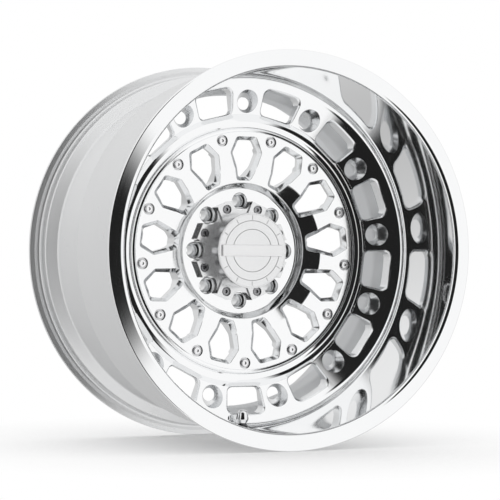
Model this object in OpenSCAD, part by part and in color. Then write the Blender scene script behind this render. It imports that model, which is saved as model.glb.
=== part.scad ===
// Forged two-piece wheel rim: a deep-lip barrel with a windowed ring, a bolted centre disc,
// a bolt-on centre cap and a clamp-in tyre valve.
// The axle is the Y axis, the outboard face looks to -Y and the valve is at the bottom.
// The origin is the wheel's centre, midway between the two flanges.

/* [Rim size] */
// Bead seat diameter (24 inch tyre)
seat_d = 614.4; // [560:0.1:680]
// Width between the flanges (14 inch)
rim_w = 355.6; // [300:0.1:400]
// Height of a flange above the bead seat
flange_h = 17.3; // [12:0.1:22]
// Width of a flange outside the bead seat
flange_t = 11.3; // [10:0.1:14]
// Width of the flange's cylindrical edge
edge_w = 6; // [4:0.5:7]
// How far the front face leans back at its outer edge
face_lean = 2.7; // [0:0.1:4]
// Length of a bead seat
seat_l = 20; // [16:0.5:26]
// Taper of a bead seat, degrees
seat_taper = 5; // [3:0.5:8]
// Height of the safety hump above the bead seat
hump_h = 0.8; // [0.4:0.1:2]
// From the end of a bead seat to the top of its hump
hump_w = 4; // [3:0.5:6]
// From the top of the front hump to the barrel's wall
hump_ease = 12; // [8:0.5:16]
// Where the flange's curl starts on the tyre side, below its edge
curl_h = 8; // [6:0.5:9]

/* [Barrel] */
// Wall of the lip, outboard of the ring
wall_t = 7.5; // [5:0.5:10]
// Wall of the barrel inboard of the ring
rear_wall_t = 5.5; // [4:0.5:8]
// How far the barrel lies below the bead seat
shelf_drop = 3.7; // [2:0.1:6]
// Depth of the drop centre below the bead seat
drop_h = 34; // [25:1:42]
// Start of the drop centre, inboard of the wheel's middle
drop_y0 = 45; // [38:1:52]
// End of the drop centre
drop_y1 = 82; // [70:1:95]
// Depth of the shelf between the drop centre and the rear bead seat
rise_h = 19.2; // [14:0.1:24]
// Place of that shelf's inboard end
rise_y = 137; // [120:1:142]
// Length of barrel wall outboard of the ring's back
ridge_l = 12; // [8:0.5:16]
// Radius of the lip's inner front corner
lip_corner_r = 8; // [5:0.5:10]
// Radius of the fillet between the lip wall and the ring
lip_fillet_r = 14; // [10:1:20]

/* [Windowed ring] */
// Place of the ring's outboard face at its inner edge
ring_y = 8.8; // [6:0.1:11]
// Slope of the ring's face, degrees
ring_slope = 15; // [10:0.5:20]
// Inboard face of the ring
ring_back_y = 22; // [18:0.5:26]
// Width of the shoulder between the disc and the ring
shoulder_w = 23.2; // [18:0.2:28]
// Number of windows, holes and disc bolts
window_n = 13; // [9:1:15]
// Ring window, from the ring's inner edge
ring_win_in = 0.8; // [0:0.2:4]
// Ring window, width across the ring
ring_win_w = 43; // [36:0.5:46]
// Ring window, angle from side to side
ring_win_a = 14.4; // [10:0.1:16]
// Corner radius of the ring windows
ring_win_c = 8; // [4:0.5:12]
// Countersunk hole, from the ring's inner edge to its centre
sink_in = 18.4; // [16:0.2:22]
// Countersunk hole, diameter at the front
sink_d0 = 38.4; // [32:0.2:42]
// Countersunk hole, diameter at the back
sink_d1 = 22; // [16:0.5:26]
// Length of the hole's straight end behind the countersink
sink_land = 2; // [1:0.5:4]
// How far the cutters of windows and holes pass the ring's back
web_clear = 4; // [2:0.5:5]
// From the ring to the shoulder's rear slope
shoulder_dip = 7; // [4:0.5:9]
// From the disc's pocket to the shoulder's crest
crest_w = 6; // [4:0.5:8]
// Height of the shoulder's crest above the disc's border
crest_h = 0.7; // [0.3:0.1:1.5]
// Depth of the shoulder's edge beside the disc, below the border
shoulder_lip = 3; // [2:0.5:4.5]
// Wall left between the disc's pocket and the hollow behind the ring
pocket_wall = 7; // [5:0.5:9]

/* [Centre disc] */
// Outer diameter of the disc
disc_d = 418; // [412:0.5:424]
// Thickness of the disc's bolted border
border_t = 14; // [11:0.5:17]
// Place of the border's outboard face
border_y = 4.8; // [3:0.1:6]
// Width of the lowered edge outside the border's step
border_edge_w = 7.5; // [5:0.5:9]
// Height of that step
edge_step = 1.4; // [0.8:0.1:2]
// Rounding of the disc's outer edge
edge_r = 5; // [3:0.5:6]
// Width of the flat border inside that step
border_w = 18.5; // [15:0.5:22]
// Thickness of the disc behind the border
web_t = 23; // [19:0.5:27]
// Width of the flat back of the web, inside the ears
web_back_w = 29; // [20:0.5:34]
// Radius of the hub pad inside the recess
pad_r = 107.2; // [105:0.1:109]
// Place of the hub pad's outboard face
pad_y = 31; // [29:0.5:33]
// Width of the recess wall, from the pad to the rim round the recess
recess_w = 7.4; // [6:0.1:10]
// Place of that rim
recess_y = 16.8; // [15:0.1:20]
// Rounding of that rim
recess_ease = 6; // [3:0.5:8]
// Width of the cone outside the rim
slope_w = 24.9; // [18:0.1:28]
// Place of the cone's outer edge
slope_y = 7.2; // [5.5:0.1:8]
// Wheel offset: place of the mounting face
mount_y = 76; // [70:1:82]
// Radius of the mounting face
mount_r = 106; // [102:0.5:108]
// Width and depth of the shoulder beside the mounting face
mount_ease = 7; // [4:0.5:10]
// Hub bore diameter
bore_d = 125; // [120:0.1:128]
// Disc window, from its outer end to the disc's edge
win_edge = 21; // [18:0.5:24]
// Disc window, length along a spoke
win_l = 62.5; // [54:0.5:64]
// Disc window, from its outer end to its widest place
win_head = 22; // [18:0.5:26]
// Disc window, width at its inner end
win_w0 = 14; // [11:0.5:18]
// Disc window, largest width
win_w1 = 47; // [40:0.5:50]
// Disc window, width at its outer end
win_w2 = 26; // [20:0.5:30]
// Corner radius of the disc windows
win_c = 4; // [3:0.5:6]

/* [Lug holes] */
// Number of lug holes
lug_n = 8; // [6:1:10]
// Lug circle diameter
lug_pcd = 170; // [165:0.1:172]
// Lug hole diameter at the mounting face
lug_d = 15.5; // [14:0.1:17]
// Counterbore diameter
lug_cb_d = 26.5; // [24:0.5:29]
// Counterbore depth
lug_cb_l = 12; // [8:0.5:15]
// Second step diameter
lug_step_d = 22; // [20:0.5:23.5]
// Second step depth
lug_step_l = 4; // [2:0.5:6]

/* [Disc bolts] */
// From a disc bolt's centre to the disc's edge
bolt_edge = 18.5; // [17.5:0.1:20]
// Bolt shank diameter
bolt_d = 8; // [6:0.5:9]
// Bolt head diameter
bolt_head_d = 13; // [11:0.5:14]
// Bolt head height
bolt_head_h = 4; // [3.5:0.5:6]
// Socket of the bolts and cap screws, across flats
socket_af = 5; // [4:0.5:6]
// Spotface diameter
spot_d = 20.5; // [19:0.5:22]
// Spotface depth
spot_l = 4.5; // [3:0.5:5.5]
// Washer diameter
bolt_washer_d = 18; // [15:0.5:18.5]
// Washer thickness
bolt_washer_t = 1.5; // [1:0.1:2]
// Thickness of the barrel's bolting ears
ear_t = 12; // [9:0.5:15]
// From a disc bolt's centre to the inner edge of its ear
ear_reach = 13.5; // [12:0.5:15]
// Radius of the scallops between the ears
ear_scallop_r = 32; // [28:0.5:34]
// Width of the barrel's seat behind the disc between the ears
seat_w = 10; // [8:0.5:12]
// Nut width across flats
nut_af = 13; // [12:0.5:15]
// Nut height
nut_h = 8; // [6:0.5:10]

/* [Centre cap] */
// Diameter of the cap's tower
tower_d = 123; // [116:0.5:125]
// Wall of the cap's tower
tower_t = 5; // [3.5:0.5:7]
// Place of the tower's outboard rim
tower_y = -15.5; // [-20:0.5:-10]
// Thickness of the cap's base flange
base_t = 8; // [6:0.5:10]
// How far the base flange reaches past the cap screws' centres
base_reach = 4.7; // [3:0.1:7]
// Place of the lobes' faces
lobe_y = 18.9; // [16:0.1:22]
// Width of a lobe
lobe_w = 29; // [26:0.5:31]
// How far the lobes reach past the cap screws' centres
lobe_reach = 9.7; // [9:0.1:12]
// Radius of the scallops round the lug holes
scallop_r = 16.5; // [15:0.5:18]
// From the tower to the cap screws' centres
cap_screw_out = 13.8; // [13:0.1:15]
// Cap screw diameter
cap_screw_d = 8; // [6:0.5:9]
// Cap screw head diameter
cap_head_d = 13; // [11:0.5:14]
// Cap screw head height
cap_head_h = 6; // [4:0.5:7]
// Counterbore of a cap screw
cap_cb_d = 16; // [14.5:0.5:18]
// Depth of that counterbore
cap_cb_l = 8; // [6:0.5:9]
// Depth of the cap screws in the hub pad
cap_screw_in = 14; // [10:0.5:18]
// How far the lid stands past the tower
lid_over = 2.2; // [1:0.1:4]
// Thickness of the lid
lid_t = 6; // [4:0.5:8]
// Depth of the lid's spigot inside the tower
spigot_l = 7; // [5:0.5:9]
// Wall of the lid's spigot
spigot_t = 4; // [3:0.5:5]
// Section diameter of the lid's O-ring
ring_d = 3; // [2:0.5:3.5]
// Radius of the engraved circle on the lid
line_r = 50; // [46:0.5:54]
// Radius of the inner circle on the lid
inner_r = 35.5; // [30:0.5:40]
// Depth and width of the lid's engraved lines
line_w = 0.8; // [0.4:0.1:1.2]
// Length of the bar across the lid
bar_l = 112; // [100:1:116]
// Height of that bar
bar_h = 18.6; // [14:0.2:22]
// Thickness of that bar
bar_t = 5; // [3:0.5:6]
// Distance of the bar's screws from the axle
bar_screw_x = 40; // [30:1:46]

/* [Tyre valve] */
// Valve's place across the wheel
valve_x = -15.7; // [-20:0.1:0]
// Valve's place along the axle
valve_y = -21; // [-40:0.5:-20]
// Stem diameter
stem_d = 8; // [7:0.1:9]
// Valve hole diameter
valve_hole_d = 11.5; // [10.5:0.1:12.5]
// Diameter of the valve's spotface
valve_spot_d = 19; // [18:0.5:22]
// Height of the stem above the lip wall
stem_l = 25.5; // [22:0.5:30]
// Diameter of the valve's foot on the tyre side
foot_d = 17; // [15:0.5:18]
// Thickness of that foot
foot_t = 3; // [2:0.5:4]
// Thickness of the rubber grommet under the foot
grommet_t = 2.5; // [2:0.1:3.5]
// Thickness of the rubber washer on the lip side
gasket_t = 1.2; // [1:0.1:2]
// Thickness of the steel washer
valve_washer_t = 1; // [0.8:0.1:1.6]
// Valve nut width across flats
valve_nut_af = 14; // [11:0.5:15]
// Valve nut height
valve_nut_h = 3; // [2.5:0.5:4.5]
// Largest diameter of the valve cap
valve_cap_d = 21; // [16:0.5:22]
// Diameter of the valve cap's top
valve_cap_top_d = 10; // [8:0.5:12]
// Core barrel diameter
core_d = 5; // [4.5:0.1:5.4]
// Core barrel length
core_l = 9; // [7:0.5:11]
// Core pin diameter
pin_d = 1.6; // [1.2:0.1:2]
// Travel of the core pin
pin_travel = 1.2; // [0.8:0.1:1.6]

/* [Clearances] */
// Between the disc and the barrel's pocket
fit_gap = 0.3; // [0.1:0.05:0.5]
// Round a screw or bolt shank, on the radius
screw_gap = 0.3; // [0.2:0.05:0.5]
// Between parts that turn or slide on each other
run_gap = 0.25; // [0.15:0.05:0.35]

/* [Hidden] */
$fn = 96;
eps = 0.5;
// How far a cutter stands clear of what it cuts
cut = 20;

// Rim radii and places along the axle
seat_r = seat_d / 2;
flange_r = seat_r + flange_h;
in_y = rim_w / 2;
half_w = in_y + flange_t;
wall_r = seat_r - shelf_drop;
lip_r = wall_r - wall_t;
drop_r = seat_r - drop_h;
rise_r = seat_r - rise_h;
ridge_y = ring_back_y - ridge_l;
curl_r = flange_r - curl_h;
hump_y = in_y - seat_l - hump_w;
shelf_y = hump_y - hump_ease;
fall_a = atan((wall_r - drop_r) / (drop_y0 - ridge_y));
climb_a = atan((rise_r - drop_r) / (rise_y - drop_y1));
drop_in_r = drop_r - rear_wall_t;
fall_in_y = drop_y0 - rear_wall_t * tan(fall_a / 2);
climb_in_y = drop_y1 + rear_wall_t * tan(climb_a / 2);
rear_lip_r = wall_r - rear_wall_t;
web_out_r = drop_in_r + (fall_in_y - ring_back_y) * tan(fall_a);
seat_fall = seat_l * tan(seat_taper);

// Disc and ring
disc_r = disc_d / 2;
pocket_r = disc_r + fit_gap;
border_back_y = border_y + border_t;
ear_back_y = border_back_y + ear_t;
edge_step_r = disc_r - border_edge_w;
border_r0 = edge_step_r - border_w;
recess_r = pad_r + recess_w;
slope_r = recess_r + slope_w;
win_r2 = disc_r - win_edge;
win_r1 = win_r2 - win_head;
win_r0 = win_r2 - win_l;
bolt_pcr = disc_r - bolt_edge;
seat_in_r = disc_r - seat_w;
ear_in_r = bolt_pcr - ear_reach;
web_back_r = ear_in_r - 4 - web_back_w;
ring_r = disc_r + shoulder_w;
ring_out_y = ring_y - (lip_r - ring_r) * tan(ring_slope);
ring_win_r0 = ring_r + ring_win_in;
ring_win_r1 = ring_win_r0 + ring_win_w;
sink_pcr = ring_r + sink_in;
pitch = 360 / window_n;
spot_y = border_y + spot_l;
bolt_seat_y = spot_y - bolt_washer_t;
bolt_l = ear_back_y + nut_h + 1 - bolt_seat_y;
lug_pitch = 360 / lug_n;

// Cap
lid_y = tower_y - lid_t;
bar_y = lid_y + line_w;
tower_r = tower_d / 2;
tower_in_r = tower_r - tower_t;
lid_r = tower_r + lid_over;
cap_screw_pcr = tower_r + cap_screw_out;
base_r = cap_screw_pcr + base_reach;
lobe_r = cap_screw_pcr + lobe_reach;
spigot_r = tower_in_r - run_gap;
groove_y = tower_y + spigot_l / 2;
cap_head_y = lobe_y + cap_cb_l;
cap_screw_l = pad_y + cap_screw_in - cap_head_y;

// Valve: heights along its own axis, from the seat of the lip-side gasket
valve_wall_z = sqrt(pow(lip_r, 2) - pow(valve_x, 2));
valve_seat_z = -valve_wall_z - 0.8;
valve_foot_z = -sqrt(pow(wall_r, 2) - pow(abs(valve_x) + foot_d / 2, 2)) + 0.2;
valve_bed = valve_seat_z - valve_foot_z;
nut_z = gasket_t + valve_washer_t;
cap_z = nut_z + valve_nut_h + 0.3;
core_bore_d = core_d + 2 * run_gap;
core_top = stem_l - 2;
core_bottom = core_top - core_l;
gasket_z = core_bottom + core_l * 0.45;
spring_r = pin_d / 2 + 0.9;
wire_d = 0.5;
cap_in_r = stem_d / 2 + run_gap;
cap_seal_t = 1.2;
pin_top = stem_l - 1.2;
seal_h = 1.6;
seal_z = core_bottom - seal_h - 0.1;
pin_foot_t = 0.8;
foot_z = seal_z - pin_foot_t;
spring_n = 5;
spring_l = spring_n * wire_d + 2 * pin_travel;
spring_bottom = foot_z - spring_l;

// ---------- helpers ----------

function unit(v) = v / norm(v);

// Rounds the corner at q = [x, y, radius] between its neighbours p and s.
function corner(p, q, s) =
    let (a = [q[0], q[1]], r = q[2])
    r == 0 ? [a] :
    let (u = unit([p[0], p[1]] - a), v = unit([s[0], s[1]] - a),
        half = acos(max(-1, min(1, u * v))) / 2)
    half > 89.9 ? [a] :
    let (c = a + unit(u + v) * r / sin(half), t = r / tan(half),
        d0 = a + u * t - c, d1 = a + v * t - c,
        a0 = atan2(d0[1], d0[0]), a1 = atan2(d1[1], d1[0]),
        turn = (a1 - a0 + 540) % 360 - 180, n = max(2, ceil(abs(turn) / 14)))
    [for (i = [0:n]) c + r * [cos(a0 + turn * i / n), sin(a0 + turn * i / n)]];

// Turns a list of [x, y, radius] corners into a rounded outline.
function rounded(pts) = let (n = len(pts))
    [for (i = [0:n - 1]) each corner(pts[(i + n - 1) % n], pts[i], pts[(i + 1) % n])];

// The wheel is drawn round Z with the inboard side up, then laid on the Y axis.
module on_axle() { rotate([-90, 0, 0]) children(); }

// Places a child at a clock angle (degrees from the top, seen from the front) and radius.
module clock(a, r) { rotate([0, 0, a - 90]) translate([r, 0, 0]) children(); }

module each_window() { for (i = [0:window_n - 1]) clock(i * pitch, 0) children(); }
module each_bolt(r) { for (i = [0:window_n - 1]) clock((i + 0.5) * pitch, r) children(); }
module each_lug(r) { for (i = [0:lug_n - 1]) clock(i * lug_pitch, r) children(); }
module each_lobe(r) { for (i = [0:lug_n - 1]) clock((i + 0.5) * lug_pitch, r) children(); }

module ring(r0, r1, y0, y1) {
    rotate_extrude() translate([r0, y0]) square([r1 - r0, y1 - y0]);
}

module hexagon(af, h) { cylinder(h = h, r = af / 2 / cos(30), $fn = 6); }

// Socket-head screw with its head's seat at height 0 and its shank rising.
module socket_screw(d, l, head_d, head_h, af) {
    difference() {
        union() {
            cylinder(h = l, d = d);
            rotate_extrude() polygon(rounded([[0, -head_h, 0], [head_d / 2, -head_h, 1],
                [head_d / 2, 0, 0], [0, 0, 0]]));
        }
        translate([0, 0, -head_h - eps]) hexagon(af, head_h * 0.6 + eps);
    }
}

module at_valve() { translate([valve_x, valve_y, valve_seat_z]) children(); }

// ---------- barrel ----------

function barrel_outline() = rounded([
    [lip_r, -half_w, lip_corner_r],
    [flange_r, -half_w + face_lean, 2.5],
    [flange_r, -half_w + face_lean + edge_w, 1.5],
    [curl_r, -in_y, 5],
    [seat_r, -in_y, 6],
    [seat_r - seat_fall, -in_y + seat_l, 4],
    [seat_r + hump_h, -hump_y, 3],
    [wall_r, -shelf_y, 6],
    [wall_r, ridge_y, 8],
    [drop_r, drop_y0, 12],
    [drop_r, drop_y1, 20],
    [rise_r, rise_y, 10],
    [seat_r + hump_h, hump_y, 4],
    [seat_r - seat_fall, in_y - seat_l, 4],
    [seat_r, in_y, 6],
    [curl_r, in_y, 5],
    [flange_r, half_w - face_lean - edge_w, 1.5],
    [flange_r, half_w - face_lean, 2.5],
    [rear_lip_r, half_w, 6],
    [rear_lip_r, hump_y + rear_wall_t, 12],
    [rise_r - rear_wall_t, rise_y + rear_wall_t / 3, 12],
    [drop_in_r, climb_in_y, 20],
    [drop_in_r, fall_in_y, 14],
    [web_out_r, ring_back_y, 3],
    [pocket_r + pocket_wall, ring_back_y, 3],
    [pocket_r + pocket_wall, ear_back_y, 2],
    [ear_in_r, ear_back_y, 1.5],
    [ear_in_r, border_back_y, 0],
    [pocket_r, border_back_y, 0],
    [pocket_r, border_y + shoulder_lip, 1.5],
    [pocket_r + crest_w, border_y - crest_h, 10],
    [ring_r - shoulder_dip, border_y + crest_h, 14],
    [ring_r, ring_y, 1],
    [lip_r, ring_out_y, lip_fillet_r]]);

function ring_window() = rounded([
    [ring_win_r0 * cos(ring_win_a / 2), -ring_win_r0 * sin(ring_win_a / 2), ring_win_c],
    [ring_win_r1 * cos(ring_win_a / 2), -ring_win_r1 * sin(ring_win_a / 2), ring_win_c],
    [ring_win_r1 / cos(ring_win_a / 4), 0, ring_win_r1],
    [ring_win_r1 * cos(ring_win_a / 2), ring_win_r1 * sin(ring_win_a / 2), ring_win_c],
    [ring_win_r0 * cos(ring_win_a / 2), ring_win_r0 * sin(ring_win_a / 2), ring_win_c]]);

module rim_barrel() {
    color("gainsboro") difference() {
        on_axle() difference() {
            rotate_extrude($fn = 180) polygon(barrel_outline());
            each_bolt(0) translate([0, 0, ring_out_y - cut])
                linear_extrude(height = ring_back_y + web_clear - ring_out_y + cut)
                    polygon(ring_window());
            each_window() translate([sink_pcr, 0, 0]) sink();
            each_window() translate([seat_in_r - ear_scallop_r, 0, border_y])
                cylinder(h = cut + ear_back_y - border_y, r = ear_scallop_r);
            each_bolt(bolt_pcr) translate([0, 0, border_y])
                cylinder(h = cut + ear_back_y - border_y, d = bolt_d + 2 * screw_gap);
        }
        at_valve() {
            translate([0, 0, -2 * cut]) cylinder(h = 4 * cut, d = valve_hole_d);
            cylinder(h = cut, d = valve_spot_d);
            translate([0, 0, -valve_bed - cut]) cylinder(h = cut, d = foot_d + 2);
        }
    }
}

// Cone through the ring, its wide end a little outboard of the sloped face.
module sink() {
    face = ring_y - (sink_pcr - ring_r) * tan(ring_slope);
    depth = ring_back_y - sink_land - face;
    grow = (sink_d0 - sink_d1) / 2 / depth;
    translate([0, 0, face - cut])
        cylinder(h = cut + depth, r1 = sink_d0 / 2 + cut * grow, r2 = sink_d1 / 2);
    translate([0, 0, face]) cylinder(h = depth + sink_land + web_clear, d = sink_d1);
}

// ---------- centre disc ----------

function disc_outline() = rounded([
    [bore_d / 2, pad_y, 1],
    [pad_r, pad_y, 4],
    [recess_r, recess_y, recess_ease],
    [slope_r, slope_y, 1],
    [border_r0, border_y, 60],
    [edge_step_r, border_y, 0.6],
    [edge_step_r + 1, border_y + edge_step, 0.5],
    [disc_r - edge_r / 2, border_y + edge_step + 0.6, edge_r / 2],
    [disc_r, border_y + edge_r, 1],
    [disc_r, border_back_y, 1],
    [ear_in_r - 1, border_back_y, 2],
    [ear_in_r - 4, border_y + web_t, 5],
    [web_back_r, border_y + web_t, 12],
    [mount_r + mount_ease, mount_y - mount_ease, 10],
    [mount_r, mount_y, 1.5],
    [bore_d / 2, mount_y, 1]]);

function disc_window() = rounded([
    [win_r0, -win_w0 / 2, win_c], [win_r1, -win_w1 / 2, win_c * 1.6],
    [win_r2, -win_w2 / 2, win_c], [win_r2, win_w2 / 2, win_c],
    [win_r1, win_w1 / 2, win_c * 1.6], [win_r0, win_w0 / 2, win_c]]);

// Counterbore, second step, conical nut seat and stud hole.
module lug_hole() {
    step_y = pad_y + lug_cb_l;
    cone_y = step_y + lug_step_l;
    cone_l = (lug_step_d - lug_d) / 2 / tan(30);
    translate([0, 0, pad_y - cut]) cylinder(h = cut + lug_cb_l, d = lug_cb_d);
    translate([0, 0, step_y - eps]) cylinder(h = lug_step_l + eps, d = lug_step_d);
    translate([0, 0, cone_y]) cylinder(h = cone_l, d1 = lug_step_d, d2 = lug_d);
    translate([0, 0, cone_y]) cylinder(h = mount_y, d = lug_d);
}

module centre_disc() {
    color("whitesmoke") on_axle() difference() {
        rotate_extrude($fn = 180) polygon(disc_outline());
        each_window() translate([0, 0, -cut]) linear_extrude(height = cut + mount_y)
            polygon(disc_window());
        each_bolt(bolt_pcr) {
            translate([0, 0, -cut]) cylinder(h = cut + spot_y, d = spot_d);
            cylinder(h = mount_y, d = bolt_d + 2 * screw_gap);
        }
        each_lug(lug_pcd / 2) lug_hole();
        each_lobe(cap_screw_pcr) translate([0, 0, pad_y - eps])
            cylinder(h = cap_screw_in + 2 + eps, d = cap_screw_d + 2 * screw_gap);
    }
}

// ---------- disc bolts ----------

module disc_bolts() {
    color("silver") on_axle() each_bolt(bolt_pcr)
        translate([0, 0, bolt_seat_y])
            socket_screw(bolt_d, bolt_l, bolt_head_d, bolt_head_h, socket_af);
}

module disc_bolt_washers() {
    color("lightgray") on_axle() each_bolt(bolt_pcr)
        ring(bolt_d / 2 + screw_gap, bolt_washer_d / 2, bolt_seat_y, spot_y);
}

module disc_bolt_nuts() {
    color("silver") on_axle() each_bolt(bolt_pcr) translate([0, 0, ear_back_y])
        difference() {
            union() {
                hexagon(nut_af, nut_h);
                cylinder(h = 1.5, d = nut_af * 1.3);
            }
            translate([0, 0, -eps]) cylinder(h = nut_h + 2 * eps, d = bolt_d);
        }
}

// ---------- centre cap ----------

module cap_base() {
    color("lightgray") on_axle() difference() {
        union() {
            ring(tower_in_r, tower_r, tower_y, pad_y);
            difference() {
                ring(tower_in_r, base_r, pad_y - base_t, pad_y);
                each_lug(lug_pcd / 2) translate([0, 0, pad_y - base_t - eps])
                    cylinder(h = base_t + 2 * eps, r = scallop_r);
            }
            each_lobe(0) translate([tower_r - tower_t / 2, -lobe_w / 2, lobe_y])
                cube([lobe_r - tower_r + tower_t / 2, lobe_w, pad_y - lobe_y]);
        }
        each_lobe(cap_screw_pcr) {
            translate([0, 0, lobe_y - cut]) cylinder(h = cut + cap_cb_l, d = cap_cb_d);
            translate([0, 0, lobe_y]) cylinder(h = cut + base_t, d = cap_screw_d + 2 * screw_gap);
        }
        o_ring(run_gap);
    }
}

module cap_screws() {
    color("gray") on_axle() each_lobe(cap_screw_pcr) translate([0, 0, cap_head_y])
        socket_screw(cap_screw_d, cap_screw_l, cap_head_d, cap_head_h, socket_af + 1);
}

// Round section of the lid's O-ring, half in the tower and half in the lid's spigot.
module o_ring(grow) {
    rotate_extrude() translate([tower_in_r - run_gap / 2, groove_y])
        circle(d = ring_d + grow, $fn = 32);
}

module cap_lid() {
    color("silver") on_axle() difference() {
        union() {
            rotate_extrude() polygon(rounded([[0, lid_y, 0], [lid_r, lid_y, 1.2],
                [lid_r, tower_y, 1], [0, tower_y, 0]]));
            ring(spigot_r - spigot_t, spigot_r, tower_y - eps, tower_y + spigot_l);
        }
        o_ring(run_gap);
        ring(line_r, line_r + line_w, lid_y - eps, lid_y + line_w);
        ring(inner_r, inner_r + line_w, lid_y - eps, lid_y + line_w);
        for (i = [0:11]) if (i != 3 && i != 9)
            clock(i * 30, line_r + 2) translate([0, -line_w / 2, lid_y - eps])
                cube([lid_r - line_r - 4, line_w, line_w + eps]);
        translate([-bar_l / 2, -bar_h / 2, lid_y - eps])
            cube([bar_l, bar_h, line_w + eps]);
        for (x = [-bar_screw_x, bar_screw_x]) translate([x, 0, lid_y - 1])
            cylinder(h = lid_t + 2, d = 3 + 2 * screw_gap);
    }
}

module cap_lid_o_ring() {
    color("dimgray") on_axle() o_ring(0);
}

module cap_bar() {
    color("white") on_axle() difference() {
        translate([0, 0, bar_y - bar_t]) linear_extrude(height = bar_t)
            polygon(rounded([for (s = [[1, 1], [-1, 1], [-1, -1], [1, -1]])
                [s[0] * bar_l / 2, s[1] * bar_h / 2, 0.6]]));
        for (x = [-bar_screw_x, bar_screw_x]) translate([x, 0, bar_y - bar_t / 2])
            cylinder(h = bar_t, d = 3);
    }
}

// Small screws from behind the lid, their tips in the bar.
module cap_bar_screws() {
    color("gray") on_axle() for (x = [-bar_screw_x, bar_screw_x]) translate([x, 0, tower_y])
        mirror([0, 0, 1]) socket_screw(3, tower_y - bar_y + bar_t / 2, 5.5, 3, 2.5);
}

// ---------- tyre valve (drawn along Z from the lip-side seat) ----------

module valve_stem() {
    color("silver") at_valve() difference() {
        union() {
            translate([0, 0, -valve_bed - grommet_t - foot_t])
                rotate_extrude() polygon(rounded([[0, 0, 0], [foot_d / 2, 0, 1],
                    [foot_d / 2, foot_t, 0.5], [0, foot_t, 0]]));
            translate([0, 0, -valve_bed - grommet_t - eps])
                cylinder(h = valve_bed + grommet_t + stem_l + eps, d = stem_d);
        }
        translate([0, 0, spring_bottom]) cylinder(h = stem_l, d = core_bore_d);
        translate([0, 0, -valve_bed - cut]) cylinder(h = cut + stem_l, d = core_d - 2);
    }
}

module valve_grommet() {
    color("dimgray") at_valve() difference() {
        union() {
            translate([0, 0, -valve_bed - grommet_t]) cylinder(h = grommet_t, d = foot_d - 1);
            translate([0, 0, -valve_bed - eps])
                cylinder(h = valve_bed * 0.7 + eps, d = valve_hole_d - 0.2);
        }
        translate([0, 0, -valve_bed - cut]) cylinder(h = 2 * cut, d = stem_d);
    }
}

module valve_gasket() {
    color("dimgray") at_valve() ring(stem_d / 2, valve_spot_d / 2 - 1, 0, gasket_t);
}

module valve_washer() {
    color("lightgray") at_valve()
        ring(stem_d / 2 + 0.1, valve_spot_d / 2 - 1, gasket_t, nut_z);
}

module valve_nut() {
    color("silver") at_valve() translate([0, 0, nut_z]) difference() {
        hexagon(valve_nut_af, valve_nut_h);
        translate([0, 0, -eps]) cylinder(h = valve_nut_h + 2 * eps, d = stem_d);
    }
}

// Core barrel: a tube held in the stem's bore, with a seat for the pin's seal below it.
module valve_core_barrel() {
    color("goldenrod") at_valve() difference() {
        union() {
            translate([0, 0, core_bottom]) cylinder(h = core_l, d = core_d);
            translate([0, 0, core_top - 2]) cylinder(h = 2, d = core_bore_d);
        }
        translate([0, 0, core_bottom - eps]) cylinder(h = core_l + 2 * eps, d = pin_d + 2 * run_gap);
        translate([0, 0, gasket_z]) rotate_extrude()
            translate([core_d / 2 - 0.6, 0]) square([2, 1.4]);
    }
}

module valve_core_gasket() {
    color("red") at_valve() ring(core_d / 2 - 0.6, core_bore_d / 2, gasket_z, gasket_z + 1.4);
}

module valve_core_pin() {
    color("gold") at_valve() {
        translate([0, 0, foot_z]) cylinder(h = pin_top - foot_z, d = pin_d);
        translate([0, 0, foot_z]) cylinder(h = pin_foot_t, r = spring_r + 0.1);
    }
}

module valve_core_seal() {
    color("red") at_valve() ring(pin_d / 2, spring_r - 0.1, seal_z, seal_z + seal_h);
}

// Return spring under the pin's foot, each turn drawn as a closed ring.
module valve_core_spring() {
    rise = (spring_l - wire_d) / (spring_n - 1);
    color("silver") at_valve() for (i = [0:spring_n - 1])
        translate([0, 0, spring_bottom + wire_d / 2 + i * rise]) rotate_extrude()
            translate([spring_r - wire_d / 2, 0]) circle(d = wire_d, $fn = 24);
}

module valve_cap() {
    color("gainsboro") at_valve() difference() {
        rotate_extrude() polygon(rounded([
            [0, stem_l + 3.5, 0],
            [valve_cap_top_d / 2, stem_l + 3.5, 2],
            [valve_cap_d / 2, cap_z + 5, 3],
            [valve_cap_d / 2, cap_z + 2.6, 1.5],
            [stem_d / 2 + 1.6, cap_z, 0.5],
            [0, cap_z, 0]]));
        translate([0, 0, cap_z - 1])
            cylinder(h = stem_l + cap_seal_t + 0.3 - cap_z + 1, r = cap_in_r);
    }
}

module valve_cap_seal() {
    color("dimgray") at_valve() ring(pin_d / 2 + 1, cap_in_r - 0.1, stem_l + 0.3,
        stem_l + 0.3 + cap_seal_t);
}

rim_barrel();
centre_disc();
disc_bolts();
disc_bolt_washers();
disc_bolt_nuts();
cap_base();
cap_screws();
cap_lid();
cap_lid_o_ring();
cap_bar();
cap_bar_screws();
valve_stem();
valve_grommet();
valve_gasket();
valve_washer();
valve_nut();
valve_core_barrel();
valve_core_gasket();
valve_core_pin();
valve_core_seal();
valve_core_spring();
valve_cap();
valve_cap_seal();
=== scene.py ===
import math
import bmesh
import bpy
import numpy as np
from mathutils import Matrix, Vector
from mathutils.bvhtree import BVHTree


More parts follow.
